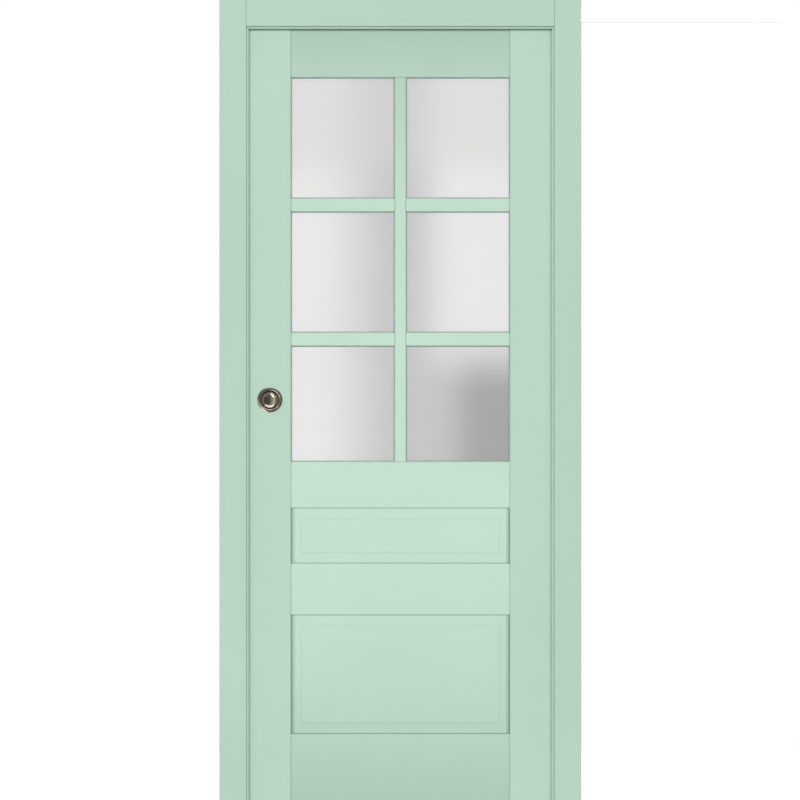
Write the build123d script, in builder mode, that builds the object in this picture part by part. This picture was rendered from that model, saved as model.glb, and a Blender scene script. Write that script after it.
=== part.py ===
from build123d import *
import os

# A glazed pocket door with its frame: a stile and rail leaf that hangs from two trolleys in an overhead
# track and slides to the right, out from between the strike jamb's stops and into a split jamb.
# X runs along the wall, to the right as seen from the front. Y runs through the wall, away from the
# viewer. Z is up. The origin is on the floor, in the middle of the opening and of the wall.
# All sizes are in millimetres.

# Leaf
leaf_width = 813.0
leaf_height = 2032.0
leaf_thickness = 40.0
floor_gap = 8.0
stile_width = 120.0
top_rail_height = 132.0
lock_rail_height = 121.0
panel_rail_height = 135.0
bottom_rail_height = 182.0
upper_panel_height = 145.0
lower_panel_height = 311.0
rail_setback = 3.0
member_edge_radius = 2.5
guide_groove_width = 8.0
guide_groove_depth = 18.0

# Joinery of the leaf
groove_width = 12.0
groove_depth = 10.0
joint_clearance = 0.1
tenon_end_gap = 0.5
dowel_radius = 5.0
dowel_length = 100.0
dowel_end_gap = 1.0
dowel_chamfer = 1.0
dowel_place_shares = (-0.25, 0.25)

# Glazing, with the rows of panes from the bottom up
muntin_setback = 4.0
muntin_edge_radius = 3.0
centre_muntin_width = 30.0
cross_muntin_height = 35.0
pane_row_shares = (0.324, 0.338, 0.338)
glass_thickness = 4.0
glass_bite = 8.0
seal_lip_reach = 2.4
seal_lip_chamfer = 2.0

# Fielded panels
panel_bite = 9.0
panel_field_drop = 1.5
panel_edge_drop = 5.0
panel_bevel_width = 29.0
panel_step = 0.8
panel_cove_depth = 0.8
panel_edge_gap = 0.5

# Cup pulls
pull_height = 1064.0
pull_radius = 32.75
pull_rim_rise = 2.6
pull_rim_edge = 0.8
pull_lip_rise = 1.0
pull_bowl_radius = 25.0
pull_bowl_depth = 12.0
pull_wall = 1.4
pull_bore_clearance = 0.4

# Hangers on the top rail
hanger_inset = 60.0
plate_length = 110.0
plate_width = 32.0
plate_thickness = 4.0
plate_corner_radius = 6.0
plate_screw_spacing_x = 80.0
plate_screw_spacing_y = 16.0
plate_screw_head_radius = 4.2
plate_screw_radius = 2.1
plate_screw_length = 35.0
bolt_radius = 4.0
bolt_hole_clearance = 0.2
bolt_head_radius = 7.4
bolt_head_height = 5.3
bolt_tip_drop = 1.0
nut_height = 6.5
nut_track_gap = 3.5
head_pocket_clearance = 2.6

# Trolleys
wheel_radius = 10.0
wheel_width = 7.0
wheel_chamfer = 0.6
wheel_rim_width = 2.2
wheel_hub_radius = 5.0
wheel_web_drop = 1.2
wheel_side_gap = 0.3
wheel_track_gap = 0.3
wheel_boss_gap = 3.0
axle_radius = 2.5
axle_running_clearance = 0.05
axle_head_radius = 3.6
axle_head_thickness = 0.8
carriage_thickness = 9.0
carriage_height = 14.0
carriage_end_margin = 11.0
boss_length = 22.0
boss_width = 15.0
boss_edge_radius = 2.0

# Track and its stops
travel = 700.0
track_wall = 2.4
track_corner_radius = 1.0
track_side_clearance = 1.6
track_headroom = 7.0
track_slot_clearance = 2.0
track_end_gap = 2.5
track_end_margin = 13.0
track_screw_radius = 2.1
track_screw_head_radius = 4.0
track_screw_head_height = 2.2
track_screw_length = 18.0
track_screw_shares = (-0.86, 0.0, 0.86)
track_fixing_radius = 2.25
track_fixing_spacing = 340.0
stop_length = 20.0
stop_height = 15.0
stop_clearance = 0.4
stop_screw_radius = 2.5
stop_gap = 0.5
buffer_length = 6.0
buffer_width = 15.0
buffer_height = 11.0
buffer_edge_radius = 2.5

# Jambs and header
side_lap = 10.0
head_lap = 6.0
jamb_depth = 116.0
jamb_thickness = 32.0
jamb_edge_radius = 1.5
pocket_clearance = 5.0
strike_stop_thickness = 13.0
strike_stop_clearance = 2.0
header_thickness = 20.0
header_screw_radius = 2.5
header_screw_head_radius = 5.0
header_screw_length = 60.0
header_screw_shares = (-0.8, 0.0, 0.8)

# Bumper strip between the strike stops
bumper_width = 20.0
bumper_gap = 0.3
bumper_edge_radius = 1.0

# Casings
casing_width = 70.0
casing_thickness = 12.0
casing_reveal = 6.0
casing_edge_radius = 2.0
casing_overrun = 2.0
casing_tongue_offset = 10.0
casing_tongue_thickness = 6.0
casing_tongue_length = 15.0
casing_groove_clearance = 0.2
casing_groove_slack = 1.0
casing_tongue_top_gap = 6.0

# Floor guide
guide_base_length = 40.0
guide_base_width = 36.0
guide_base_thickness = 3.0
guide_corner_radius = 4.0
guide_fin_clearance = 0.3
guide_fin_top_gap = 4.0
guide_end_margin = 3.0
guide_hole_radius = 2.25
guide_hole_spacing = 22.0

# Levels of the leaf, from the floor up
leaf_bottom = floor_gap
leaf_top = leaf_bottom + leaf_height
lower_panel_low = leaf_bottom + bottom_rail_height
lower_panel_high = lower_panel_low + lower_panel_height
upper_panel_low = lower_panel_high + panel_rail_height
upper_panel_high = upper_panel_low + upper_panel_height
glass_low = upper_panel_high + lock_rail_height
glass_high = leaf_top - top_rail_height

# Widths and half thicknesses that the pieces of the leaf share
leaf_half = leaf_width / 2
rail_half = leaf_half - stile_width
leaf_face = leaf_thickness / 2
rail_face = leaf_face - rail_setback
muntin_face = leaf_face - muntin_setback
tenon_length = groove_depth - tenon_end_gap
tenon_thickness = groove_width - 2 * joint_clearance
dowel_bore_radius = dowel_radius + joint_clearance
dowel_bore_depth = dowel_length / 2 + dowel_end_gap

# Rows and columns of panes
row_room = glass_high - glass_low - (len(pane_row_shares) - 1) * cross_muntin_height
pane_sight_width = rail_half - centre_muntin_width / 2
pane_column = centre_muntin_width / 2 + pane_sight_width / 2

# Opening and frame
opening_half = leaf_half - side_lap
head_underside = leaf_top - head_lap
jamb_half_depth = jamb_depth / 2
pocket_half = leaf_face + pocket_clearance
casing_groove_depth = casing_tongue_length + casing_groove_slack
jamb_screw_row = (pocket_half + jamb_half_depth - casing_groove_depth) / 2
jamb_middle = opening_half + jamb_thickness / 2
strike_board_thickness = jamb_thickness - strike_stop_thickness
strike_board_middle = opening_half + strike_stop_thickness + strike_board_thickness / 2
strike_half = leaf_face + strike_stop_clearance

# Trolley and track, from the leaf's top up and from the wall's middle out
hanger_place = rail_half - hanger_inset
nut_base = leaf_top + plate_thickness
track_bottom = nut_base + nut_height + nut_track_gap
track_floor = track_bottom + track_wall
axle_height = track_floor + wheel_track_gap + wheel_radius
track_ceiling = axle_height + wheel_radius + track_headroom
track_top = track_ceiling + track_wall
wheel_inside = carriage_thickness / 2 + wheel_side_gap
wheel_outside = wheel_inside + wheel_width
axle_head_inside = wheel_outside + wheel_side_gap
axle_tip = axle_head_inside + axle_head_thickness
track_inner_half = axle_tip + track_side_clearance
track_half = track_inner_half + track_wall
slot_half = bolt_radius + track_slot_clearance
axle_place = boss_length / 2 + wheel_boss_gap + wheel_radius
carriage_half = axle_place + carriage_end_margin
closed_stop_face = -hanger_place - carriage_half - stop_gap
open_stop_face = hanger_place + carriage_half + travel + stop_gap
track_start = -opening_half + track_end_gap
track_end = open_stop_face + buffer_length + stop_length + track_end_margin
track_middle = (track_bottom + track_top) / 2

ON_TOP = (Align.CENTER, Align.CENTER, Align.MIN)
HANGING = (Align.CENTER, Align.CENTER, Align.MAX)


def save(piece, name):
    """Labels a finished piece and writes it under its node's name."""
    piece.part.label = name
    export_step(piece.part, f"parts/{name}.step")


def countersunk_screw(head_radius, shank_radius, length, mode=Mode.ADD):
    """A screw that points down from each current location, which is the middle of its flat head."""
    Cone(shank_radius, head_radius, head_radius - shank_radius, align=HANGING, mode=mode)
    Cylinder(shank_radius, length, align=HANGING, mode=mode)


def dowel_levels(low, high):
    """Heights of the dowels in one end of a rail."""
    middle = (low + high) / 2
    return [middle + share * (high - low) for share in dowel_place_shares]


rails = {
    "bottom_rail": (leaf_bottom, lower_panel_low, False, True),
    "panel_rail": (lower_panel_high, upper_panel_low, True, True),
    "lock_rail": (upper_panel_high, glass_low, True, True),
    "top_rail": (glass_high, leaf_top, True, False),
}
all_dowel_levels = [level for low, high, _, _ in rails.values() for level in dowel_levels(low, high)]


def cut_guide_groove():
    """Cuts the groove that the floor guide's fin runs in, along the leaf's whole lower edge."""
    with Locations((0, 0, leaf_bottom)):
        Box(leaf_width, guide_groove_width, guide_groove_depth, align=ON_TOP, mode=Mode.SUBTRACT)


def make_stile(side):
    """One upright of the leaf, on the left for side -1 and on the right for side 1."""
    with BuildPart() as stile:
        with BuildSketch(Plane.XY.offset(leaf_bottom)) as section:
            with Locations((side * (leaf_half - stile_width / 2), 0)):
                Rectangle(stile_width, leaf_thickness)
            fillet(section.vertices(), radius=member_edge_radius)
            with Locations((side * (rail_half + groove_depth / 2), 0)):
                Rectangle(groove_depth, groove_width, mode=Mode.SUBTRACT)
        extrude(amount=leaf_height)
        cut_guide_groove()
        with BuildSketch(Plane.YZ.offset(side * rail_half)):
            with Locations(*[(0, level) for level in all_dowel_levels]):
                Circle(dowel_bore_radius)
        extrude(amount=side * dowel_bore_depth, mode=Mode.SUBTRACT)
    return stile


def make_rail(low, high, groove_below, groove_above):
    """One rail of the leaf, with a stub tenon at each end and a groove where glass or a panel meets it."""
    height = high - low
    tenon_low = low + groove_depth * groove_below
    tenon_high = high - groove_depth * groove_above
    with BuildPart() as rail:
        with BuildSketch(Plane.YZ.offset(-rail_half)) as section:
            with Locations((0, low + height / 2)):
                Rectangle(2 * rail_face, height)
            fillet(section.vertices(), radius=member_edge_radius)
            if groove_below:
                with Locations((0, low + groove_depth / 2)):
                    Rectangle(groove_width, groove_depth, mode=Mode.SUBTRACT)
            if groove_above:
                with Locations((0, high - groove_depth / 2)):
                    Rectangle(groove_width, groove_depth, mode=Mode.SUBTRACT)
        extrude(amount=2 * rail_half)
        with BuildSketch(Plane.YZ.offset(-rail_half - tenon_length)):
            with Locations((0, (tenon_low + tenon_high) / 2)):
                Rectangle(tenon_thickness, tenon_high - tenon_low)
        extrude(amount=2 * (rail_half + tenon_length))
        for side in (-1, 1):
            with BuildSketch(Plane.YZ.offset(side * (rail_half + tenon_length))):
                with Locations(*[(0, level) for level in dowel_levels(low, high)]):
                    Circle(dowel_bore_radius)
            extrude(amount=-side * (tenon_length + dowel_bore_depth), mode=Mode.SUBTRACT)
    return rail


def make_cross_muntin(side, low):
    """A short muntin between a stile and the centre muntin, with a stub tenon at each end."""
    start = centre_muntin_width / 2
    with BuildPart() as muntin:
        with BuildSketch(Plane.YZ.offset(side * start)) as section:
            with Locations((0, low + cross_muntin_height / 2)):
                Rectangle(2 * muntin_face, cross_muntin_height)
                fillet(section.vertices(), radius=muntin_edge_radius)
            for groove in (low + groove_depth / 2, low + cross_muntin_height - groove_depth / 2):
                with Locations((0, groove)):
                    Rectangle(groove_width, groove_depth, mode=Mode.SUBTRACT)
        extrude(amount=side * pane_sight_width)
        with BuildSketch(Plane.YZ.offset(side * (start - tenon_length))):
            with Locations((0, low + cross_muntin_height / 2)):
                Rectangle(tenon_thickness, cross_muntin_height - 2 * groove_depth)
        extrude(amount=side * (pane_sight_width + 2 * tenon_length))
    return muntin


def make_pane(column, level, sight_height):
    """One sheet of glass, which stands in the grooves around its sight opening."""
    with BuildPart() as pane:
        with BuildSketch(Plane.XZ):
            with Locations((column, level)):
                Rectangle(pane_sight_width + 2 * glass_bite, sight_height + 2 * glass_bite)
        extrude(amount=glass_thickness / 2, both=True)
    return pane


def make_seal(column, level, sight_height):
    """The seal round one pane: a ring wrapped over the glass's edge, with a sloped lip on each face."""
    seal_bite = groove_depth - joint_clearance
    slot_bite = glass_bite + joint_clearance
    with BuildPart() as seal:
        with BuildSketch(Plane.XZ):
            with Locations((column, level)):
                Rectangle(pane_sight_width + 2 * seal_bite, sight_height + 2 * seal_bite)
                Rectangle(
                    pane_sight_width - 2 * seal_lip_reach,
                    sight_height - 2 * seal_lip_reach,
                    mode=Mode.SUBTRACT,
                )
        extrude(amount=tenon_thickness / 2, both=True)
        sides = seal.faces().filter_by(Axis.Y)
        chamfer([edge for side in sides for edge in side.inner_wires()[0].edges()], length=seal_lip_chamfer)
        with BuildSketch(Plane.XZ):
            with Locations((column, level)):
                Rectangle(pane_sight_width + 2 * slot_bite, sight_height + 2 * slot_bite)
        extrude(amount=glass_thickness / 2 + joint_clearance, both=True, mode=Mode.SUBTRACT)
    return seal


def fielded_section(half_span):
    """The section across a fielded panel: a flat field, a small step, a coved margin and a tongue."""
    field = rail_face - panel_field_drop
    foot = (half_span - panel_bevel_width + panel_step, field - panel_step)
    margin = (half_span - panel_edge_gap, rail_face - panel_edge_drop)
    tongue = tenon_thickness / 2
    with BuildSketch() as section:
        with BuildLine():
            Polyline((0, 0), (0, field), (half_span - panel_bevel_width, field), foot)
            cove = ((foot[0] + margin[0]) / 2, (foot[1] + margin[1]) / 2 - panel_cove_depth)
            ThreePointArc(foot, cove, margin)
            Polyline(
                margin,
                (margin[0], tongue),
                (half_span + panel_bite, tongue),
                (half_span + panel_bite, 0),
                (0, 0),
            )
        make_face()
        mirror(about=Plane.XZ)
        mirror(about=Plane.YZ)
    return section.sketch


def make_panel(low, high):
    """A panel with its field raised on both faces, shaped alike along its width and its height."""
    start = -rail_half - panel_bite
    with BuildPart() as panel:
        with BuildSketch(Plane.XY.offset(low - panel_bite)):
            add(fielded_section(rail_half))
        extrude(amount=high - low + 2 * panel_bite)
        with BuildSketch(Plane((start, 0, (low + high) / 2), x_dir=(0, 0, 1), z_dir=(1, 0, 0))):
            add(fielded_section((high - low) / 2))
        extrude(amount=-2 * start, mode=Mode.INTERSECT)
    return panel


def make_pull(face):
    """A round cup pull, spun as a bowl with a rolled rim, on the front for face -1 and behind for face 1."""
    into_leaf = Plane((pull_place, face * leaf_face, pull_height), x_dir=(-face, 0, 0), z_dir=(0, 0, 1))
    neck = pull_bowl_radius + pull_wall
    rim_middle = (pull_bowl_radius + pull_radius) / 2
    with BuildPart() as pull:
        with BuildSketch(into_leaf):
            with BuildLine():
                bowl = TangentArc((0, pull_bowl_depth), (pull_bowl_radius, -pull_lip_rise), tangent=(1, 0))
                rim = ThreePointArc(bowl @ 1, (rim_middle, -pull_rim_rise), (pull_radius, -pull_rim_edge))
                Polyline(rim @ 1, (pull_radius, 0), (neck, 0))
                TangentArc((0, pull_bowl_depth + pull_wall), (neck, 0), tangent=(1, 0))
                Line((0, pull_bowl_depth), (0, pull_bowl_depth + pull_wall))
            make_face()
        revolve(axis=Axis(into_leaf.origin, into_leaf.y_dir))
    return pull


def make_hanger_plate(place):
    """A steel plate screwed flat to the top rail, with a hole for the hanger bolt."""
    with BuildPart() as plate:
        with BuildSketch(Plane.XY.offset(leaf_top)):
            with Locations((place, 0)):
                RectangleRounded(plate_length, plate_width, plate_corner_radius)
                Circle(bolt_radius + bolt_hole_clearance, mode=Mode.SUBTRACT)
        extrude(amount=plate_thickness)
        with Locations((place, 0, nut_base)):
            with GridLocations(plate_screw_spacing_x, plate_screw_spacing_y, 2, 2):
                countersunk_screw(
                    plate_screw_head_radius + joint_clearance,
                    plate_screw_radius + joint_clearance,
                    plate_thickness,
                    Mode.SUBTRACT,
                )
    return plate


def make_carriage(place):
    """A trolley's body: a slim web between the wheels, with a boss in its middle for the hanger bolt."""
    low = axle_height - carriage_height / 2
    with BuildPart() as carriage:
        with BuildSketch(Plane.XZ):
            with Locations((place, axle_height)):
                SlotOverall(2 * carriage_half, carriage_height)
        extrude(amount=carriage_thickness / 2, both=True)
        with BuildSketch(Plane.XY.offset(low)):
            with Locations((place, 0)):
                RectangleRounded(boss_length, boss_width, boss_edge_radius)
        extrude(amount=carriage_height)
        with BuildSketch(Plane.XY.offset(low)):
            with Locations((place, 0)):
                Circle(bolt_radius + joint_clearance)
        extrude(amount=carriage_height, mode=Mode.SUBTRACT)
        with BuildSketch(Plane.XZ):
            with Locations((place - axle_place, axle_height), (place + axle_place, axle_height)):
                Circle(axle_radius + joint_clearance)
        extrude(amount=carriage_thickness / 2, both=True, mode=Mode.SUBTRACT)
    return carriage


def make_wheel(place, face):
    """A trolley wheel with a sunk web, in front of the carriage for face -1 and behind it for face 1."""
    with BuildPart() as wheel:
        with BuildSketch(Plane.XZ.offset(-face * wheel_inside)):
            with Locations((place, axle_height)):
                Circle(wheel_radius)
                Circle(axle_radius + axle_running_clearance, mode=Mode.SUBTRACT)
        extrude(amount=-face * wheel_width)
        rims = wheel.edges().filter_by(GeomType.CIRCLE).group_by(SortBy.RADIUS)[-1]
        chamfer(rims, length=wheel_chamfer)
        with BuildSketch(Plane.XZ.offset(-face * wheel_outside)):
            with Locations((place, axle_height)):
                Circle(wheel_radius - wheel_rim_width)
                Circle(wheel_hub_radius, mode=Mode.SUBTRACT)
        extrude(amount=face * wheel_web_drop, mode=Mode.SUBTRACT)
    return wheel


def make_pocket_jamb(face):
    """Half of the split jamb that the leaf slides through, in front for face -1 and behind for face 1."""
    with BuildPart() as jamb:
        with BuildSketch(Plane.XY) as section:
            with Locations((jamb_middle, face * (pocket_half + jamb_half_depth) / 2)):
                Rectangle(jamb_thickness, jamb_half_depth - pocket_half)
            fillet(section.vertices().group_by(Axis.X)[0], radius=jamb_edge_radius)
            cut_casing_groove(1, face)
        extrude(amount=track_top)
        drill_header_screws()
    return jamb


def make_strike_stop(face):
    """A stop strip on the strike jamb, in front of the leaf's edge for face -1 and behind it for face 1."""
    middle = (-opening_half - strike_stop_thickness / 2, face * (strike_half + jamb_half_depth) / 2)
    with BuildPart() as stop:
        with BuildSketch(Plane.XY) as section:
            with Locations(middle):
                Rectangle(strike_stop_thickness, jamb_half_depth - strike_half)
            fillet(section.vertices().group_by(Axis.X)[-1], radius=jamb_edge_radius)
        extrude(amount=track_top)
    return stop


def cut_casing_groove(side, face):
    """In a jamb's section, cuts the groove for the tongue of a side casing."""
    place = opening_half + casing_reveal + casing_tongue_offset + casing_tongue_thickness / 2
    with Locations((side * place, face * (jamb_half_depth - casing_groove_depth / 2))):
        Rectangle(
            casing_tongue_thickness + 2 * casing_groove_clearance,
            casing_groove_depth,
            mode=Mode.SUBTRACT,
        )


def header_screw_places():
    """Where the header board is screwed down on the jambs and on the two head jambs."""
    places = [-strike_board_middle, jamb_middle]
    places += [share * opening_half for share in header_screw_shares]
    return [(x, face * jamb_screw_row, track_top + header_thickness) for x in places for face in (-1, 1)]


def drill_header_screws():
    """Cuts the header screws' holes into whatever they pass through."""
    with Locations(*header_screw_places()):
        countersunk_screw(
            header_screw_head_radius + joint_clearance,
            header_screw_radius + joint_clearance,
            header_screw_length + joint_clearance,
            Mode.SUBTRACT,
        )


def make_head_jamb(face):
    """Half of the split head jamb, in front of the track for face -1 and behind it for face 1."""
    middle = face * (pocket_half + jamb_half_depth) / 2
    tongue = head_underside + casing_reveal + casing_tongue_offset + casing_tongue_thickness / 2
    with BuildPart() as jamb:
        with BuildSketch(Plane.YZ.offset(-opening_half)) as section:
            with Locations((middle, (head_underside + track_top) / 2)):
                Rectangle(jamb_half_depth - pocket_half, track_top - head_underside)
            fillet(section.vertices().group_by(Axis.Y)[0], radius=jamb_edge_radius)
            with Locations((face * (jamb_half_depth - casing_groove_depth / 2), tongue)):
                Rectangle(
                    casing_groove_depth,
                    casing_tongue_thickness + 2 * casing_groove_clearance,
                    mode=Mode.SUBTRACT,
                )
        extrude(amount=2 * opening_half)
        drill_header_screws()
    return jamb


def make_side_casing(side, face):
    """A side casing, which runs from the floor past the head casing, with its tongue in the jamb."""
    inner = opening_half + casing_reveal
    tongue = inner + casing_tongue_offset + casing_tongue_thickness / 2
    with BuildPart() as casing:
        with BuildSketch(Plane.XY) as board:
            board_middle = face * (jamb_half_depth + casing_thickness / 2)
            with Locations((side * (inner + casing_width / 2), board_middle)):
                Rectangle(casing_width, casing_thickness)
            fillet(board.vertices().sort_by(Axis.Y, reverse=face > 0)[:2], radius=casing_edge_radius)
        extrude(amount=head_underside + casing_reveal + casing_width + casing_overrun)
        with BuildSketch(Plane.XY):
            with Locations((side * tongue, face * (jamb_half_depth - casing_tongue_length / 2))):
                Rectangle(casing_tongue_thickness, casing_tongue_length)
        extrude(amount=track_top - casing_tongue_top_gap)
    return casing


def make_head_casing(face):
    """The head casing, which fits between the side casings, with its tongue in the head jamb."""
    inner_half = opening_half + casing_reveal
    low = head_underside + casing_reveal
    tongue = low + casing_tongue_offset + casing_tongue_thickness / 2
    with BuildPart() as casing:
        with BuildSketch(Plane.YZ.offset(-inner_half)) as board:
            with Locations((face * (jamb_half_depth + casing_thickness / 2), low + casing_width / 2)):
                Rectangle(casing_thickness, casing_width)
            fillet(board.vertices().sort_by(Axis.X, reverse=face > 0)[:2], radius=casing_edge_radius)
        extrude(amount=2 * inner_half)
        with BuildSketch(Plane.YZ.offset(-opening_half)):
            with Locations((face * (jamb_half_depth - casing_tongue_length / 2), tongue)):
                Rectangle(casing_tongue_length, casing_tongue_thickness)
        extrude(amount=2 * opening_half)
    return casing


def make_stop(face, away):
    """A block that closes the track beyond a buffer; away points along X from the buffer to the block."""
    start = face + away * buffer_length
    with BuildPart() as stop:
        with BuildSketch(Plane.YZ.offset(start)):
            with Locations((0, track_floor + stop_height / 2)):
                Rectangle(2 * (track_inner_half - stop_clearance), stop_height)
            with Locations((0, track_floor - track_wall / 2)):
                Rectangle(2 * (slot_half - stop_clearance), track_wall)
        extrude(amount=away * stop_length)
        with BuildSketch(Plane.XY.offset(track_bottom)):
            with Locations((start + away * stop_length / 2, 0)):
                Circle(stop_screw_radius)
        extrude(amount=stop_height + track_wall, mode=Mode.SUBTRACT)
    return stop


def make_buffer(face, away):
    """The rubber buffer on the end of a track stop."""
    with BuildPart() as pad:
        with BuildSketch(Plane.YZ.offset(face)):
            with Locations((0, track_floor + stop_height / 2)):
                RectangleRounded(buffer_width, buffer_height, buffer_edge_radius)
        extrude(amount=away * buffer_length)
    return pad


os.makedirs("parts", exist_ok=True)

# Stiles, with the bores for the two cup pulls in the one at the strike
pull_place = -(opening_half + rail_half) / 2
with BuildPart() as lock_stile:
    add(make_stile(-1).part)
    for face in (-1, 1):
        bore = Plane((pull_place, face * leaf_face, pull_height), x_dir=(1, 0, 0), z_dir=(0, -face, 0))
        with BuildSketch(bore):
            Circle(pull_bowl_radius + pull_wall + pull_bore_clearance)
        extrude(amount=pull_bowl_depth + pull_wall + pull_bore_clearance, mode=Mode.SUBTRACT)
save(lock_stile, "lock_stile")
save(make_stile(1), "pocket_stile")
save(make_pull(-1), "front_pull")
save(make_pull(1), "rear_pull")

# Rails: the bottom one has the guide groove, and the top one has the holes for the hangers
for name in ("panel_rail", "lock_rail"):
    save(make_rail(*rails[name]), name)
with BuildPart() as bottom_rail:
    add(make_rail(*rails["bottom_rail"]).part)
    cut_guide_groove()
save(bottom_rail, "bottom_rail")

hanger_places = (-hanger_place, hanger_place)
with BuildPart() as top_rail:
    add(make_rail(*rails["top_rail"]).part)
    for place in hanger_places:
        with Locations((place, 0, leaf_top)):
            Cylinder(
                bolt_head_radius + head_pocket_clearance,
                bolt_head_height + head_pocket_clearance,
                align=HANGING,
                mode=Mode.SUBTRACT,
            )
        with Locations((place, 0, nut_base)):
            with GridLocations(plate_screw_spacing_x, plate_screw_spacing_y, 2, 2):
                Cylinder(
                    plate_screw_radius + joint_clearance,
                    plate_screw_length + joint_clearance,
                    align=HANGING,
                    mode=Mode.SUBTRACT,
                )
save(top_rail, "top_rail")

with BuildPart() as rail_dowels:
    for side in (-1, 1):
        with BuildSketch(Plane.YZ.offset(side * rail_half)):
            with Locations(*[(0, level) for level in all_dowel_levels]):
                Circle(dowel_radius)
        extrude(amount=dowel_length / 2, both=True)
    chamfer(rail_dowels.edges().filter_by(GeomType.CIRCLE), length=dowel_chamfer)
save(rail_dowels, "rail_dowels")

# Fielded panels
save(make_panel(upper_panel_low, upper_panel_high), "upper_panel")
save(make_panel(lower_panel_low, lower_panel_high), "lower_panel")

# Muntins
with BuildPart() as centre_muntin:
    with BuildSketch(Plane.XY.offset(glass_low)) as section:
        Rectangle(centre_muntin_width, 2 * muntin_face)
        fillet(section.vertices(), radius=muntin_edge_radius)
        for side in (-1, 1):
            with Locations((side * (centre_muntin_width - groove_depth) / 2, 0)):
                Rectangle(groove_depth, groove_width, mode=Mode.SUBTRACT)
    extrude(amount=glass_high - glass_low)
    with BuildSketch(Plane.XY.offset(glass_low - tenon_length)):
        Rectangle(centre_muntin_width - 2 * groove_depth, tenon_thickness)
    extrude(amount=glass_high - glass_low + 2 * tenon_length)
save(centre_muntin, "centre_muntin")

# Rows of panes from the bottom up, with a cross muntin over each row but the last
pane_openings = []
row_low = glass_low
for row, share in enumerate(pane_row_shares, start=1):
    sight_height = share * row_room
    for column, side in (("left", -1), ("right", 1)):
        opening = (side * pane_column, row_low + sight_height / 2, sight_height)
        pane_openings.append(opening)
        save(make_pane(*opening), f"{column}_pane_{row}")
        if row < len(pane_row_shares):
            save(make_cross_muntin(side, row_low + sight_height), f"{column}_cross_muntin_{row}")
    row_low += sight_height + cross_muntin_height

# Glazing seals: one ring round each pane, in the grooves and with its lips in sight
with BuildPart() as glazing_seals:
    for opening in pane_openings:
        add(make_seal(*opening).part)
save(glazing_seals, "glazing_seals")

# Hangers: plates, screws, bolts and lock nuts
for number, place in enumerate(hanger_places, start=1):
    save(make_hanger_plate(place), f"hanger_plate_{number}")

with BuildPart() as hanger_screws:
    for place in hanger_places:
        with Locations((place, 0, nut_base)):
            with GridLocations(plate_screw_spacing_x, plate_screw_spacing_y, 2, 2):
                countersunk_screw(plate_screw_head_radius, plate_screw_radius, plate_screw_length)
save(hanger_screws, "hanger_screws")

with BuildPart() as hanger_bolts:
    with BuildSketch(Plane.XY.offset(leaf_top)):
        with Locations(*[(place, 0) for place in hanger_places]):
            RegularPolygon(bolt_head_radius, 6)
    extrude(amount=-bolt_head_height)
    with BuildSketch(Plane.XY.offset(leaf_top)):
        with Locations(*[(place, 0) for place in hanger_places]):
            Circle(bolt_radius)
    extrude(amount=axle_height + carriage_height / 2 - bolt_tip_drop - leaf_top)
save(hanger_bolts, "hanger_bolts")

with BuildPart() as hanger_nuts:
    with BuildSketch(Plane.XY.offset(nut_base)):
        with Locations(*[(place, 0) for place in hanger_places]):
            RegularPolygon(bolt_head_radius, 6)
            Circle(bolt_radius + joint_clearance, mode=Mode.SUBTRACT)
    extrude(amount=nut_height)
save(hanger_nuts, "hanger_nuts")

# Trolleys: carriages, axles and wheels
axle_places = [place + offset for place in hanger_places for offset in (-axle_place, axle_place)]
for number, place in enumerate(hanger_places, start=1):
    save(make_carriage(place), f"carriage_{number}")

with BuildPart() as trolley_axles:
    with BuildSketch(Plane.XZ):
        with Locations(*[(place, axle_height) for place in axle_places]):
            Circle(axle_radius)
    extrude(amount=axle_tip, both=True)
    for face in (-1, 1):
        with BuildSketch(Plane.XZ.offset(-face * axle_head_inside)):
            with Locations(*[(place, axle_height) for place in axle_places]):
                Circle(axle_head_radius)
        extrude(amount=-face * axle_head_thickness)
save(trolley_axles, "trolley_axles")

wheel_places = [(place, face) for place in axle_places for face in (-1, 1)]
for number, (place, face) in enumerate(wheel_places, start=1):
    save(make_wheel(place, face), f"wheel_{number}")

# Strike jamb: a board with a stop on each side of the leaf's edge, and the bumper strip between the stops
with BuildPart() as strike_jamb:
    with BuildSketch(Plane.XY):
        with Locations((-strike_board_middle, 0)):
            Rectangle(strike_board_thickness, jamb_depth)
        for face in (-1, 1):
            cut_casing_groove(-1, face)
    extrude(amount=track_top)
    drill_header_screws()
save(strike_jamb, "strike_jamb")

with BuildPart() as strike_bumper:
    bumper_thickness = strike_stop_thickness - side_lap - bumper_gap
    with BuildSketch(Plane.XY.offset(leaf_bottom)) as section:
        with Locations((-opening_half - strike_stop_thickness + bumper_thickness / 2, 0)):
            Rectangle(bumper_thickness, bumper_width)
        fillet(section.vertices().group_by(Axis.X)[-1], radius=bumper_edge_radius)
    extrude(amount=leaf_height)
save(strike_bumper, "strike_bumper")

# Strike stops, split pocket jamb, split head jamb and casings, on both faces of the wall
for word, face in (("front", -1), ("rear", 1)):
    save(make_strike_stop(face), f"{word}_strike_stop")
    save(make_pocket_jamb(face), f"{word}_pocket_jamb")
    save(make_head_jamb(face), f"{word}_head_jamb")
    save(make_head_casing(face), f"{word}_head_casing")
    save(make_side_casing(-1, face), f"{word}_strike_casing")
    save(make_side_casing(1, face), f"{word}_pocket_casing")

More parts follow.
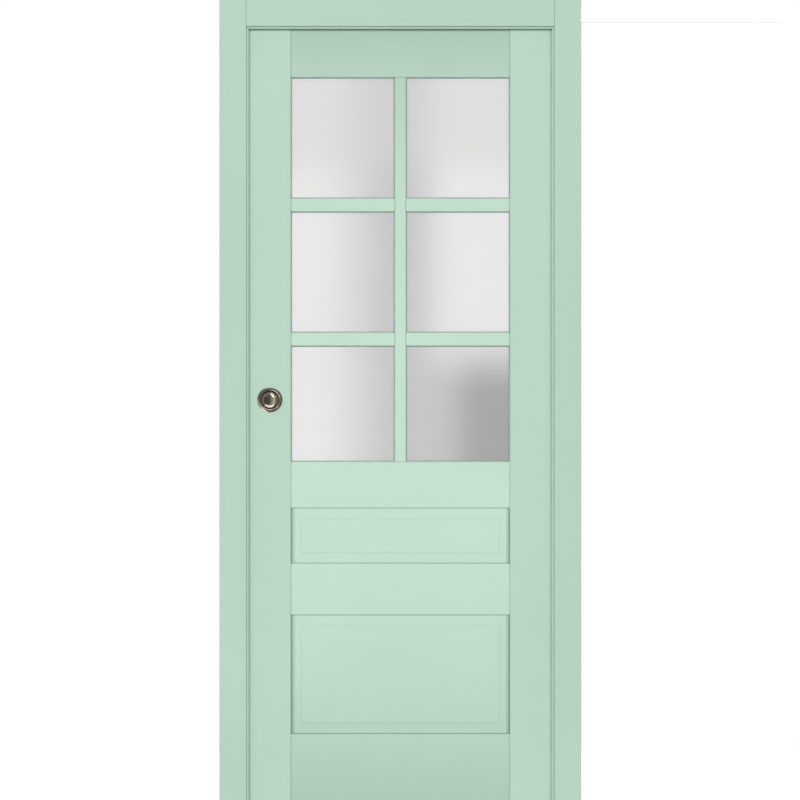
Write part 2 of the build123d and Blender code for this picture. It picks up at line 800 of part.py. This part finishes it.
# Header board and its screws
track_screw_places = [(share * opening_half, 0) for share in track_screw_shares]
with BuildPart() as header_board:
    with BuildSketch(Plane.XY.offset(track_top)):
        Rectangle(2 * (opening_half + jamb_thickness), jamb_depth)
    extrude(amount=header_thickness)
    drill_header_screws()
    with BuildSketch(Plane.XY.offset(track_top)):
        with Locations(*track_screw_places):
            Circle(track_screw_radius + joint_clearance)
    extrude(amount=track_screw_length - track_wall + joint_clearance, mode=Mode.SUBTRACT)
save(header_board, "header_board")

with BuildPart() as header_screws:
    with Locations(*header_screw_places()):
        countersunk_screw(header_screw_head_radius, header_screw_radius, header_screw_length)
save(header_screws, "header_screws")

# Track: a channel with a slot below, screwed to the header and with two open holes beyond it
track_fixing_middle = (opening_half + jamb_thickness + open_stop_face) / 2
with BuildPart() as track:
    with BuildSketch(Plane.YZ.offset(track_start)):
        with Locations((0, track_middle)):
            RectangleRounded(2 * track_half, track_top - track_bottom, track_corner_radius)
            Rectangle(2 * track_inner_half, track_ceiling - track_floor, mode=Mode.SUBTRACT)
        with Locations((0, track_bottom + track_wall / 2)):
            Rectangle(2 * slot_half, track_wall, mode=Mode.SUBTRACT)
    extrude(amount=track_end - track_start)
    with BuildSketch(Plane.XY.offset(track_ceiling)):
        with Locations(*track_screw_places):
            Circle(track_screw_radius + joint_clearance)
        with Locations((track_fixing_middle, 0)):
            with GridLocations(track_fixing_spacing, 0, 2, 1):
                Circle(track_fixing_radius)
    extrude(amount=track_wall, mode=Mode.SUBTRACT)
save(track, "track")

with BuildPart() as track_screws:
    with BuildSketch(Plane.XY.offset(track_ceiling)):
        with Locations(*track_screw_places):
            Circle(track_screw_radius)
    extrude(amount=track_screw_length)
    with BuildSketch(Plane.XY.offset(track_ceiling)):
        with Locations(*track_screw_places):
            Circle(track_screw_head_radius)
    extrude(amount=-track_screw_head_height)
save(track_screws, "track_screws")

# Stops in the track for the closed and the open leaf, each with its buffer
track_ends = ((closed_stop_face, -1), (open_stop_face, 1))
with BuildPart() as track_stops:
    for face, away in track_ends:
        add(make_stop(face, away).part)
save(track_stops, "track_stops")
with BuildPart() as stop_buffers:
    for face, away in track_ends:
        add(make_buffer(face, away).part)
save(stop_buffers, "stop_buffers")

# Floor guide: a screwed base with a fin that stands in the groove under the leaf
guide_middle = opening_half - guide_base_length / 2
guide_fin_height = floor_gap + guide_groove_depth - guide_fin_top_gap
guide_fin_thickness = guide_groove_width - 2 * guide_fin_clearance
with BuildPart() as floor_guide:
    with BuildSketch(Plane.XY):
        with Locations((guide_middle, 0)):
            RectangleRounded(guide_base_length, guide_base_width, guide_corner_radius)
            with GridLocations(0, guide_hole_spacing, 1, 2):
                Circle(guide_hole_radius, mode=Mode.SUBTRACT)
    extrude(amount=guide_base_thickness)
    with BuildSketch(Plane.XY.offset(guide_base_thickness)):
        with Locations((guide_middle, 0)):
            SlotOverall(guide_base_length - 2 * guide_end_margin, guide_fin_thickness)
    extrude(amount=guide_fin_height - guide_base_thickness)
save(floor_guide, "floor_guide")
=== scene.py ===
import math

import bpy
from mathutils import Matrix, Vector


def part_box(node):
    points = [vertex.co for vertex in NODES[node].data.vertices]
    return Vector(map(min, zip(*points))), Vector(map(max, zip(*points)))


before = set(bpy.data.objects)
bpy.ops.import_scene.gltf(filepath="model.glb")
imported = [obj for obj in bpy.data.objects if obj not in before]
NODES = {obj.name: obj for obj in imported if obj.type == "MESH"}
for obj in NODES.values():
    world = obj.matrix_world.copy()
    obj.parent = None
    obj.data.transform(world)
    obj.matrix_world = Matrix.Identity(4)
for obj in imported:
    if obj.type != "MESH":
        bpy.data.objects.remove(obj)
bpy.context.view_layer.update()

# Places on the object, in metres
LOCK_STILE_LOW, LOCK_STILE_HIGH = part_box("lock_stile")
LEAF_MIDDLE = (LOCK_STILE_LOW[2] + LOCK_STILE_HIGH[2]) / 2
LEFT_STILE_EDGE = LOCK_STILE_HIGH[0]
RIGHT_STILE_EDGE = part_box("pocket_stile")[0][0]
PULL_LOW, PULL_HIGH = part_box("front_pull")
PULL_RADIUS = (PULL_HIGH[0] - PULL_LOW[0]) / 2
PULL_X = (PULL_LOW[0] + PULL_HIGH[0]) / 2
PULL_Z = (PULL_LOW[2] + PULL_HIGH[2]) / 2
PULL_CENTRE = Vector((PULL_X, LOCK_STILE_LOW[1], PULL_Z))

# The photograph's frame: straight on, 800 pixels wide and high, with a view that reaches well past the object
PHOTO_PIXELS = 800
METRES_PER_PIXEL = 0.00262
VIEW_CENTRE = Vector((-0.0009, 0.0, 1.0636))
LENS_MM = 400.0
SENSOR_MM = 36.0
REACH_IN_DISTANCES = 10

# Colours, as linear red, green and blue, with a dark and a pale one for each bare wood
MINT = (0.475, 0.650, 0.535)
GLASS_TINT = (0.860, 0.860, 0.857)
BRONZE = (0.200, 0.182, 0.152)
# A paler bronze, painted on the pulls as a highlight
HIGHLIGHT_BRONZE = (0.58, 0.48, 0.36)
ZINC = (0.62, 0.63, 0.65)
ANODISED = (0.86, 0.87, 0.88)
NYLON = (0.80, 0.79, 0.75)
BLACK_NYLON = (0.030, 0.030, 0.032)
BLACK_RUBBER = (0.018, 0.018, 0.018)
# The glazing seals are real, but their grey is dark enough to stand in for the shade round the panes
SEAL_AND_SHADE_GREY = (0.39, 0.46, 0.415)
BEECH = ((0.56, 0.38, 0.22), (0.68, 0.50, 0.32))
SOFTWOOD = ((0.66, 0.47, 0.28), (0.80, 0.62, 0.42))
FLOOR = (0.88, 0.88, 0.87)
WHITE = (1.0, 1.0, 1.0, 1.0)

# Noise textures: scale, in spots to the metre, and detail
CLOUDS = (3.5, 2.0)
ROLLED = (420.0, 2.0)
HAZE = (5.0, 3.0)
ETCH = (2600.0, 3.0)
PATINA = (70.0, 4.0)
PITTING = (1600.0, 2.0)
DRAWN_LINES = (600.0, 3.0)
SPANGLE = (160.0, 4.0)
MOTTLE = (60.0, 3.0)
MOULD_SKIN = (1200.0, 2.0)
RINGS = (70.0, 4.0)
PORES = (900.0, 3.0)
SCUFFS = (8.0, 4.0)
# The values between which most noise lies, and the closer ones between which the pulls' shine changes
NOISE_RANGE = (0.3, 0.7)
SHINE_RANGE = (0.42, 0.58)
# How noise is scaled per axis, so that it is drawn out along a board or the track
ALONG = {"x": (0.04, 1.0, 1.0), "z": (1.0, 1.0, 0.04)}

# Darkest and palest tones of each finish
PAINT_TONES = (0.985, 1.015)
HAZE_TONES = (0.985, 1.0)
PATINA_TONES = (0.88, 1.08)
METAL_TONES = (0.92, 1.05)
MOTTLE_TONES = (0.9, 1.1)
FLOOR_TONES = (0.98, 1.0)

# Depth of each finish's bumps, in metres
ROLLED_DEPTH = 0.00003
ETCH_DEPTH = 0.00002
PITTING_DEPTH = 0.000004
METAL_DEPTH = 0.00002
MOULD_DEPTH = 0.00003
PORE_DEPTH = 0.00008

# Gloss of each finish: lowest and highest roughness, specular levels and the glass's refraction
PAINT_ROUGHNESS = (0.60, 0.70)
PAINT_SPECULAR = 0.35
GLASS_ROUGHNESS = (0.46, 0.54)
GLASS_IOR = 1.46
BRONZE_ROUGHNESS = (0.13, 0.21)
METAL_ROUGHNESS = (0.28, 0.42)
NYLON_ROUGHNESS = (0.42, 0.55)
RUBBER_ROUGHNESS = (0.70, 0.85)
SEAL_ROUGHNESS = (0.60, 0.75)
WOOD_ROUGHNESS = (0.55, 0.75)
FLOOR_ROUGHNESS = 0.8
FLOOR_SPECULAR = 0.1

# Tones of the painted boards, and of the painted shade in their joints
STILE_TONE = 1.03
CASING_TONE = 0.985
HEAD_TONE = 0.98
JOINT_SHADE_TONE = 0.36
# How far the painted shade of a joint reaches, in metres
WIDE_JOINT = 0.006
JOINT = 0.005
NARROW_JOINT = 0.004
# Painted light on the boards between the stiles: its tone at mid-height, and how it falls towards both ends
INFILL_LIGHT_TONE = 1.16
INFILL_LIGHT_FALL = 0.27
INFILL_LIGHT_POWER = 3.0
# The shade on the panels along the stiles: how dark it starts, and how far it reaches
SIDE_SHADE = 0.58
SIDE_REACH = 0.014
# The pores of bare wood: how strongly they show at most, and their tone
PORE_STRENGTH = 0.35
PORE_TONE = 0.6
# The painted highlights on the pull's rim and bowl: ways from its centre, across and up, each with
# the shares of its radius between which the highlight sets in
RIM_HIGHLIGHT = ((-0.82, -0.57), 0.68, 0.88)
BOWL_HIGHLIGHT_BOUNDS = (
    ((0.98, -0.20), 0.18, 0.40),
    ((0.98, -0.20), 0.80, 0.70),
    ((0.20, 0.98), 0.62, 0.40),
    ((-0.20, -0.98), 0.62, 0.40),
)

# The floor, and how much it glows where it is seen
FLOOR_CENTRE = (0.2, -1.0, 0.0)
FLOOR_SIZE = (12.0, 9.0)
FLOOR_GLOW = 0.35
# Light: the world's level, and a lamp before and behind the door
AMBIENT = 0.25
LAMP_DISTANCE = 14.0
LAMP_HEIGHT = 3.4
LAMP_AIM = (0.0, 0.0, 1.05)
LAMP_SIZE = (7.0, 1.4)
LAMP_WATTS = 1305.0
# Cards that show only as reflections, above all in the pulls: the place of each, the place that it faces, its
# size and its strength
PULL_CARDS = {
    "dark_card": ((1.05, -1.2, 1.30), (1.05, 0.0, 1.30), (3.0, 2.5), 0.30),
    "bright_card": ((-0.70, -0.45, 0.49), PULL_CENTRE, (0.42, 0.66), 5.0),
    "high_card": ((-0.34, -0.50, 2.56), (-0.34, -0.50, 0.0), (2.6, 0.95), 4.6),
}
# A card is lined up with Z, or with Y where it faces more steeply up or down than this
STEEP = 0.9
# The card that paints shade into the panes from behind, and where its darker parts set in, from none to full
SHADE_CARD_CENTRE = (0.0, 0.10, 1.30)
SHADE_CARD_SIZE = (1.8, 1.6)
BAND_FROM_LEFT = (-0.23, -0.01)
BAND_FROM_RIGHT = (0.15, 0.01)
TOP_FROM_BELOW = (1.62, 1.74)
CORNER_FROM_ABOVE = (1.26, 1.08)
CORNER_FROM_LEFT = (0.0, 0.22)
# How dark those parts are, and how much of the band is left in the top
BAND_DEPTH = 0.30
TOP_DEPTH = 0.10
CORNER_DEPTH = 0.54
BAND_IN_TOP = 0.45

# Places of the sockets of a colour mix among all sockets of its node
MIX_FACTOR, MIX_FIRST, MIX_SECOND = 0, 6, 7
MIX_RESULT = 2


def scaled(colour, factor):
    """A colour made paler or darker, no brighter than white."""
    return tuple(min(1.0, channel * factor) for channel in colour)


class Tree:
    """A material's node tree, with short calls for adding nodes and links."""

    def __init__(self, name):
        self.material = bpy.data.materials.new(name)
        self.material.use_nodes = True
        self.nodes = self.material.node_tree.nodes
        self.links = self.material.node_tree.links
        self.shader = self.nodes["Principled BSDF"]
        self.place = self.nodes.new("ShaderNodeTexCoord").outputs["Object"]

    def set(self, **values):
        """Constants on the shader's own sockets, named with _ for spaces."""
        for key, value in values.items():
            self.shader.inputs[key.replace("_", " ")].default_value = value

    def link(self, start, end):
        self.links.new(start, end)

    def noise(self, scale, detail, stretch=None):
        """Noise over the object's own coordinates; stretch scales them per axis first."""
        texture = self.nodes.new("ShaderNodeTexNoise")
        texture.inputs["Scale"].default_value = scale
        texture.inputs["Detail"].default_value = detail
        source = self.place
        if stretch:
            mapping = self.nodes.new("ShaderNodeMapping")
            mapping.inputs["Scale"].default_value = stretch
            self.link(source, mapping.inputs["Vector"])
            source = mapping.outputs["Vector"]
        self.link(source, texture.inputs["Vector"])
        return texture.outputs["Fac"]

    def spread(self, value, low, high, start=NOISE_RANGE[0], end=NOISE_RANGE[1]):
        """Maps a value from start..end to low..high."""
        node = self.nodes.new("ShaderNodeMapRange")
        node.inputs["From Min"].default_value = start
        node.inputs["From Max"].default_value = end
        node.inputs["To Min"].default_value = low
        node.inputs["To Max"].default_value = high
        self.link(value, node.inputs["Value"])
        return node.outputs["Result"]

    def ease(self, value, start, end):
        """Goes smoothly from 0 at start to 1 at end."""
        result = self.spread(value, 0.0, 1.0, start, end)
        result.node.interpolation_type = "SMOOTHSTEP"
        return result

    def axis(self, letter):
        """The object's own coordinate along X, Y or Z."""
        node = self.nodes.new("ShaderNodeSeparateXYZ")
        self.link(self.place, node.inputs["Vector"])
        return node.outputs[letter]

    def compute(self, operation, first, second=0.0):
        """One step of arithmetic on one or two values, each a socket or a number."""
        node = self.nodes.new("ShaderNodeMath")
        node.operation = operation
        for value, socket in zip((first, second), node.inputs):
            if isinstance(value, bpy.types.NodeSocket):
                self.link(value, socket)
            else:
                socket.default_value = value
        return node.outputs["Value"]

    def mix(self, factor, first, second, blend="MIX"):
        """A colour between two colours, each a socket or a plain colour, by a socket or a number."""
        node = self.nodes.new("ShaderNodeMix")
        node.data_type = "RGBA"
        node.blend_type = blend
        for value, socket in ((factor, MIX_FACTOR), (first, MIX_FIRST), (second, MIX_SECOND)):
            if isinstance(value, bpy.types.NodeSocket):
                self.link(value, node.inputs[socket])
            else:
                node.inputs[socket].default_value = value if isinstance(value, float) else (*value, 1.0)
        return node.outputs[MIX_RESULT]

    def mottled(self, colour, noise, tones):
        """A colour that goes from one of its tones to another with a noise."""
        darkest, palest = (scaled(colour, tone) for tone in tones)
        return self.mix(self.spread(noise, 0.0, 1.0), darkest, palest)

    def crevice(self, distance):
        """How open the surface is to its surroundings, from 0 in a tight corner to 1."""
        node = self.nodes.new("ShaderNodeAmbientOcclusion")
        node.samples = 1
        node.inputs["Distance"].default_value = distance
        return node.outputs["AO"]

    def bump(self, height, depth):
        """Bumps of a height and a depth in metres."""
        node = self.nodes.new("ShaderNodeBump")
        node.inputs["Distance"].default_value = depth
        self.link(height, node.inputs["Height"])
        self.link(node.outputs["Normal"], self.shader.inputs["Normal"])

    def colour(self, socket):
        self.link(socket, self.shader.inputs["Base Color"])

    def roughness(self, socket):
        self.link(socket, self.shader.inputs["Roughness"])


def infill_light(tree):
    """Painted light: the boards between the stiles are palest at mid-height and darker towards both ends."""
    away = tree.compute("ABSOLUTE", tree.compute("SUBTRACT", tree.axis("Z"), LEAF_MIDDLE))
    fall = tree.compute("MULTIPLY", tree.compute("POWER", away, INFILL_LIGHT_POWER), INFILL_LIGHT_FALL)
    return tree.compute("SUBTRACT", INFILL_LIGHT_TONE, fall)


def side_shade(tree):
    """A soft shade on the panels, along the stiles."""
    x = tree.axis("X")
    open_left = tree.ease(x, LEFT_STILE_EDGE, LEFT_STILE_EDGE + SIDE_REACH)
    open_right = tree.ease(x, RIGHT_STILE_EDGE, RIGHT_STILE_EDGE - SIDE_REACH)
    return tree.spread(tree.compute("MINIMUM", open_left, open_right), SIDE_SHADE, 1.0, 0.0, 1.0)


def painted_wood(name, grain, tone=1.0, joint=JOINT, shades=()):
    """Satin lacquer over board: faint clouds, a rolled grain along the board, a painted shade in every
    joint, as wide as given, and further painted light and shade over the whole board."""
    tree = Tree(name)
    base = scaled(MINT, tone)
    rolled = tree.noise(*ROLLED, ALONG[grain])
    colour = tree.mottled(base, tree.noise(*CLOUDS), PAINT_TONES)
    # Painted shade in every joint: darker where the surface is closed in
    colour = tree.mix(tree.crevice(joint), scaled(base, JOINT_SHADE_TONE), colour)
    for further in shades:
        colour = tree.mix(1.0, colour, further(tree), "MULTIPLY")
    tree.colour(colour)
    tree.roughness(tree.spread(rolled, *PAINT_ROUGHNESS))
    tree.bump(rolled, ROLLED_DEPTH)
    tree.set(Specular_IOR_Level=PAINT_SPECULAR)
    return tree.material


def frosted_glass():
    """Etched glass: clear inside, with a fine matt skin on both faces."""
    tree = Tree("frosted_glass")
    etch = tree.noise(*ETCH)
    tree.colour(tree.mottled(GLASS_TINT, tree.noise(*HAZE), HAZE_TONES))
    tree.roughness(tree.spread(etch, *GLASS_ROUGHNESS))
    tree.bump(etch, ETCH_DEPTH)
    tree.set(Transmission_Weight=1.0, IOR=GLASS_IOR)
    return tree.material


def towards(tree, way, start_share, end_share):
    """Goes from 0 at one share of the pull's radius to 1 at another, measured one way from its centre."""
    across, up = way
    centre = across * PULL_X + up * PULL_Z
    steps = (tree.compute("MULTIPLY", tree.axis("X"), across), tree.compute("MULTIPLY", tree.axis("Z"), up))
    start, end = (centre + share * PULL_RADIUS for share in (start_share, end_share))
    return tree.ease(tree.compute("ADD", *steps), start, end)


def antique_metal():
    """Nickel bronze, polished but a little tarnished, with faint clouds in its shine, and a painted
    highlight, paler bronze, on a stretch of the rim and one of the bowl."""
    tree = Tree("antique_metal")
    patina = tree.noise(*PATINA)
    # Painted highlight: paler bronze on a stretch of the rim and one of the bowl
    rim = towards(tree, *RIM_HIGHLIGHT)
    bowl = 1.0
    for bound in BOWL_HIGHLIGHT_BOUNDS:
        bowl = tree.compute("MINIMUM", bowl, towards(tree, *bound))
    painted_highlight = tree.compute("MAXIMUM", rim, bowl)
    tree.colour(tree.mix(painted_highlight, tree.mottled(BRONZE, patina, PATINA_TONES), HIGHLIGHT_BRONZE))
    tree.roughness(tree.spread(patina, *BRONZE_ROUGHNESS, *SHINE_RANGE))
    tree.bump(tree.noise(*PITTING), PITTING_DEPTH)
    tree.set(Metallic=1.0)
    return tree.material


def plain_metal(name, colour, grain=None):
    """Metal with fine drawn lines, or a spangled skin where it has no grain."""
    tree = Tree(name)
    skin = tree.noise(*DRAWN_LINES, ALONG[grain]) if grain else tree.noise(*SPANGLE)
    tree.colour(tree.mottled(colour, skin, METAL_TONES))
    tree.roughness(tree.spread(skin, *METAL_ROUGHNESS))
    tree.bump(skin, METAL_DEPTH)
    tree.set(Metallic=1.0)
    return tree.material


def moulded(name, colour, rough=NYLON_ROUGHNESS):
    """Moulded nylon or rubber with a fine spark-eroded skin."""
    tree = Tree(name)
    skin = tree.noise(*MOULD_SKIN)
    tree.colour(tree.mottled(colour, tree.noise(*MOTTLE), MOTTLE_TONES))
    tree.roughness(tree.spread(skin, *rough))
    tree.bump(skin, MOULD_DEPTH)
    return tree.material


def bare_wood(name, colours):
    """Planed wood with its grain along X."""
    tree = Tree(name)
    pores = tree.noise(*PORES, ALONG["x"])
    rings = tree.spread(tree.noise(*RINGS, ALONG["x"]), 0.0, 1.0)
    colour = tree.mix(rings, *colours)
    tree.colour(tree.mix(tree.spread(pores, 0.0, PORE_STRENGTH), colour, scaled(colours[0], PORE_TONE)))
    tree.roughness(tree.spread(pores, *WOOD_ROUGHNESS))
    tree.bump(pores, PORE_DEPTH)
    return tree.material


def dress(material, *names):
    """Gives CAD nodes their finish."""
    for name in names:
        slots = NODES[name].data.materials
        slots.clear()
        slots.append(material)


def dress_paint():
    """The painted boards, with the grain along their length."""
    faces = ("front", "rear")
    dress(painted_wood("mint_upright", "z", STILE_TONE), "lock_stile", "pocket_stile")
    # The boards between the stiles carry painted light, palest at mid-height; the panels also carry a painted
    # shade along the stiles.
    dress(painted_wood("mint_muntin", "z", shades=[infill_light]), "centre_muntin")
    cross_muntins = [f"{side}_cross_muntin_{row}" for side in ("left", "right") for row in (1, 2)]
    rails = [f"{place}_rail" for place in ("top", "lock", "panel", "bottom")]
    dress(painted_wood("mint_rail", "x", joint=WIDE_JOINT, shades=[infill_light]), *rails, *cross_muntins)
    panel = painted_wood("mint_panel", "x", joint=NARROW_JOINT, shades=[infill_light, side_shade])
    dress(panel, "upper_panel", "lower_panel")
    side_casings = [f"{face}_{side}_casing" for face in faces for side in ("strike", "pocket")]
    dress(painted_wood("mint_casing", "z", CASING_TONE), *side_casings)
    head_boards = [f"{face}_head_{board}" for face in faces for board in ("casing", "jamb")]
    dress(painted_wood("mint_head", "x", HEAD_TONE), *head_boards)
    upright_jambs = [f"{face}_{board}" for face in faces for board in ("pocket_jamb", "strike_stop")]
    dress(painted_wood("mint_jamb", "z", joint=NARROW_JOINT), "strike_jamb", *upright_jambs)


def dress_others():
    """The glass, metals, nylons, rubbers and bare woods."""
    dress(frosted_glass(), *(f"{side}_pane_{row}" for side in ("left", "right") for row in (1, 2, 3)))
    dress(antique_metal(), "front_pull", "rear_pull")
    dress(plain_metal("anodised_aluminium", ANODISED, "x"), "track")
    zinc = plain_metal("zinc_steel", ZINC)
    dress(zinc, "hanger_plate_1", "hanger_plate_2", "hanger_screws", "hanger_bolts", "hanger_nuts")
    dress(zinc, "carriage_1", "carriage_2", "trolley_axles", "header_screws", "track_screws")
    dress(moulded("wheel_nylon", NYLON), *(name for name in NODES if name.startswith("wheel_")))
    dress(moulded("black_nylon", BLACK_NYLON), "track_stops", "floor_guide")
    dress(moulded("black_rubber", BLACK_RUBBER, RUBBER_ROUGHNESS), "stop_buffers", "strike_bumper")
    # The seals' grey also stands in for the shade round the panes' edges
    dress(moulded("seal_rubber", SEAL_AND_SHADE_GREY, SEAL_ROUGHNESS), "glazing_seals")
    dress(bare_wood("softwood", SOFTWOOD), "header_board")
    dress(bare_wood("beech", BEECH), "rail_dowels")


def plane(name, centre, across, up, size):
    """A flat rectangle, given its centre, two directions and its size along them."""
    across, up = Vector(across).normalized(), Vector(up).normalized()
    corners = [(-0.5, -0.5), (0.5, -0.5), (0.5, 0.5), (-0.5, 0.5)]
    points = [Vector(centre) + across * (u * size[0]) + up * (v * size[1]) for u, v in corners]
    mesh = bpy.data.meshes.new(name)
    mesh.from_pydata(points, [], [(0, 1, 2, 3)])
    piece = bpy.data.objects.new(name, mesh)
    bpy.context.scene.collection.objects.link(piece)
    return piece


def seen(nodes, links):
    """1 for the rays that show a thing, from the camera or by way of metal and glass, and 0 for the rest."""
    path = nodes.new("ShaderNodeLightPath")
    rays = path.outputs["Is Camera Ray"]
    for kind in ("Is Glossy Ray", "Is Transmission Ray"):
        most = nodes.new("ShaderNodeMath")
        most.operation = "MAXIMUM"
        links.new(rays, most.inputs[0])
        links.new(path.outputs[kind], most.inputs[1])
        rays = most.outputs["Value"]
    return rays


def make_floor():
    """A pale floor that keeps the object's shadow and meets the white background."""
    floor = plane("floor", FLOOR_CENTRE, (1, 0, 0), (0, 1, 0), FLOOR_SIZE)
    tree = Tree("floor")
    tree.colour(tree.mottled(FLOOR, tree.noise(*SCUFFS), FLOOR_TONES))
    tree.set(Roughness=FLOOR_ROUGHNESS, Specular_IOR_Level=FLOOR_SPECULAR)
    glow = tree.nodes.new("ShaderNodeEmission")
    tree.link(tree.compute("MULTIPLY", seen(tree.nodes, tree.links), FLOOR_GLOW), glow.inputs["Strength"])
    both = tree.nodes.new("ShaderNodeAddShader")
    tree.link(tree.shader.outputs["BSDF"], both.inputs[0])
    tree.link(glow.outputs["Emission"], both.inputs[1])
    tree.link(both.outputs["Shader"], tree.nodes["Material Output"].inputs["Surface"])
    tree.material.cycles.emission_sampling = "NONE"
    floor.data.materials.append(tree.material)


def make_world():
    """White wherever it is seen, directly or in metal and glass, and a softer level as light."""
    world = bpy.data.worlds.new("studio")
    bpy.context.scene.world = world
    world.use_nodes = True
    nodes, links = world.node_tree.nodes, world.node_tree.links
    background = nodes["Background"]
    background.inputs["Color"].default_value = WHITE
    level = nodes.new("ShaderNodeMapRange")
    level.inputs["To Min"].default_value = AMBIENT
    level.inputs["To Max"].default_value = 1.0
    links.new(seen(nodes, links), level.inputs["Value"])
    links.new(level.outputs["Result"], background.inputs["Strength"])


def lamp_shade():
    """The frosted panes and the pulls, listed so that the lamps pass them by: the glass glows with what is
    behind it, and the metal shows the cards round it."""
    listed = bpy.data.collections.new("lamp_shade")
    for name, node in NODES.items():
        if "_pane_" in name or name.endswith("_pull"):
            listed.objects.link(node)
    for entry in listed.collection_objects:
        entry.light_linking.link_state = "EXCLUDE"
    return listed


def area_light(name, place, shade):
    """A soft rectangular lamp that points at the middle of the door and passes by what its shade lists."""
    lamp = bpy.data.lights.new(name, "AREA")
    lamp.shape = "RECTANGLE"
    lamp.size, lamp.size_y = LAMP_SIZE
    lamp.energy = LAMP_WATTS
    holder = bpy.data.objects.new(name, lamp)
    holder.location = place
    holder.visible_camera = False
    holder.light_linking.receiver_collection = shade
    holder.rotation_mode = "QUATERNION"
    holder.rotation_quaternion = (Vector(LAMP_AIM) - Vector(place)).to_track_quat("-Z", "Y")
    bpy.context.scene.collection.objects.link(holder)


def card(name, centre, across, up, size, ray):
    """A glowing card that only one kind of ray sees; gives its tree and the glow's strength socket."""
    piece = plane(name, centre, across, up, size)
    for kind in ("camera", "diffuse", "glossy", "transmission", "volume_scatter", "shadow"):
        setattr(piece, f"visible_{kind}", kind == ray)
    tree = Tree(name)
    glow = tree.nodes.new("ShaderNodeEmission")
    tree.link(glow.outputs["Emission"], tree.nodes["Material Output"].inputs["Surface"])
    tree.material.cycles.emission_sampling = "NONE"
    piece.data.materials.append(tree.material)
    return tree, glow.inputs["Strength"]


def glass_shade_card():
    """A glowing card behind the door, seen only through the frosted glass, that paints shade into the panes:
    white, with a soft dark band behind the middle muntin, a greyer top and a dark lower right corner."""
    tree, strength = card(
        "glass_shade_card", SHADE_CARD_CENTRE, (1, 0, 0), (0, 0, 1), SHADE_CARD_SIZE, "transmission")
    x, z = tree.axis("X"), tree.axis("Z")
    band = tree.compute("MINIMUM", tree.ease(x, *BAND_FROM_LEFT), tree.ease(x, *BAND_FROM_RIGHT))
    top = tree.ease(z, *TOP_FROM_BELOW)
    band = tree.compute("MULTIPLY", band, tree.spread(top, 1.0, BAND_IN_TOP, 0.0, 1.0))
    corner = tree.compute("MULTIPLY", tree.ease(z, *CORNER_FROM_ABOVE), tree.ease(x, *CORNER_FROM_LEFT))
    # The band, the top and the corner are painted shade, seen in the panes
    level = 1.0
    for part, depth in ((band, BAND_DEPTH), (top, TOP_DEPTH), (corner, CORNER_DEPTH)):
        level = tree.compute("SUBTRACT", level, tree.compute("MULTIPLY", part, depth))
    tree.link(level, strength)


def pull_card(name, place, aim, size, strength):
    """A card that shows only as a reflection, facing the place that it aims at."""
    view = (Vector(aim) - Vector(place)).normalized()
    upright = Vector((0, 1, 0)) if abs(view.z) > STEEP else Vector((0, 0, 1))
    across = view.cross(upright).normalized()
    _, level = card(name, place, across, across.cross(view), size, "glossy")
    level.default_value = strength


def make_camera():
    """A long lens straight on, so that the view is as flat as the photograph's."""
    data = bpy.data.cameras.new("camera")
    data.lens = LENS_MM
    data.sensor_width = SENSOR_MM
    distance = PHOTO_PIXELS * METRES_PER_PIXEL * LENS_MM / SENSOR_MM
    data.clip_end = REACH_IN_DISTANCES * distance
    camera = bpy.data.objects.new("camera", data)
    camera.location = VIEW_CENTRE - Vector((0, distance, 0))
    camera.rotation_euler = (math.pi / 2, 0, 0)
    bpy.context.scene.collection.objects.link(camera)
    bpy.context.scene.camera = camera


dress_paint()
dress_others()
make_floor()
make_world()
shade = lamp_shade()
area_light("key", (0.0, -LAMP_DISTANCE, LAMP_HEIGHT), shade)
area_light("rear", (0.0, LAMP_DISTANCE, LAMP_HEIGHT), shade)
glass_shade_card()
for card_name, card_values in PULL_CARDS.items():
    pull_card(card_name, *card_values)
make_camera()
bpy.context.scene.view_settings.view_transform = "Standard"
